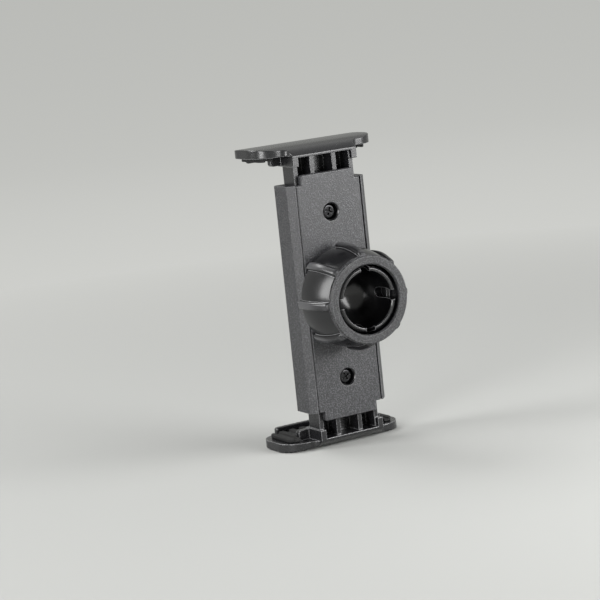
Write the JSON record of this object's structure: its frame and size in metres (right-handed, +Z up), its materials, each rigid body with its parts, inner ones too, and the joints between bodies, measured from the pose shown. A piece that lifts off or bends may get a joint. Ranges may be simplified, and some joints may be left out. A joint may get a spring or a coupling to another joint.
{
  "type": "ball joint phone holder",
  "caption": "Spring-loaded phone holder head: sliding jaws with curved padded lips grip a phone, and a slotted ball socket with a ribbed locking nut clamps it to a ball arm.",
  "frame": {"origin": "centre of the ball that the socket takes", "axes": "+Y from the socket towards the phone, square to the phone's back; +Z up along the slide of the jaws; +X to the right as seen from the socket side"},
  "size_m": [0.0374, 0.0353, 0.083],
  "materials": {
    "body_plastic": "black moulded plastic with a fine spark-eroded grain",
    "jaw_plastic": "black moulded plastic, smooth and slightly shiny on the lip",
    "nut_plastic": "black moulded plastic, shiny on the ribs and fine-grained on the front ring",
    "pad_rubber": "matt black ribbed rubber",
    "screw_black": "black-plated steel",
    "spring_steel": "plain drawn steel"
  },
  "bodies": {
    "holder": {"clamp_housing": "body_plastic", "back_cover": "body_plastic", "upper_backing_pad": "pad_rubber", "lower_backing_pad": "pad_rubber", "upper_screw": "screw_black", "lower_screw": "screw_black", "left_spring_post": "spring_steel", "right_spring_post": "spring_steel", "upper_left_spring": "spring_steel", "upper_right_spring": "spring_steel", "lower_left_spring": "spring_steel", "lower_right_spring": "spring_steel"},
    "upper_slide": {"upper_jaw": "jaw_plastic", "upper_jaw_pad": "pad_rubber", "upper_left_spring_pin": "spring_steel", "upper_right_spring_pin": "spring_steel"},
    "lower_slide": {"lower_jaw": "jaw_plastic", "lower_jaw_pad": "pad_rubber", "lower_left_spring_pin": "spring_steel", "lower_right_spring_pin": "spring_steel"},
    "nut": {"locking_nut": "nut_plastic"}
  },
  "joints": [
    {"name": "upper_jaw_slide", "type": "slide", "parent": "holder", "child": "upper_slide", "axis": [0, 0, 1], "range_m": [-0.0045, 0.01], "stiffness_N_per_m": 500, "springref_m": -0.016, "deforming": ["upper_left_spring", "upper_right_spring"]},
    {"name": "lower_jaw_slide", "type": "slide", "parent": "holder", "child": "lower_slide", "axis": [0, 0, -1], "range_m": [-0.0045, 0.01], "stiffness_N_per_m": 500, "springref_m": -0.016, "deforming": ["lower_left_spring", "lower_right_spring"]},
    {"name": "nut_turn", "type": "hinge", "parent": "holder", "child": "nut", "pos_m": [0, 0, 0], "axis": [0, -1, 0], "range_deg": [-270, 360]}
  ]
}
